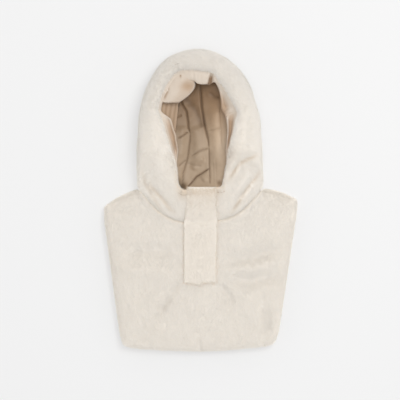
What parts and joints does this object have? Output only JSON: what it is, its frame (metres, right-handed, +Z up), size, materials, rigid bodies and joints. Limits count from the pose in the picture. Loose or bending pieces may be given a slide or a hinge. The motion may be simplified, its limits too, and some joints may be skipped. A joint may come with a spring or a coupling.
{
  "type": "hood",
  "caption": "Plush pullover hood with a shoulder bib, a front placket, satin lining and a satin facing, lying flat on its back.",
  "frame": {"origin": "middle of the whole outline, on the surface the hood lies on", "axes": "+X to the viewer's right, +Y from the hem towards the crown, +Z up out of the face opening"},
  "size_m": [0.388, 0.6013, 0.0878],
  "materials": {
    "plush": "matt cream sheared pile",
    "lining": "soft sheen beige satin",
    "facing": "soft sheen cream satin"
  },
  "bodies": {
    "root": {"hood_side_left": "plush", "hood_side_right": "plush", "hood_centre_gusset": "plush", "lining_left": "lining", "lining_centre": "lining", "lining_right": "lining", "opening_facing": "facing", "front_bib": "plush", "back_bib": "plush", "placket": "plush"}
  },
  "joints": []
}
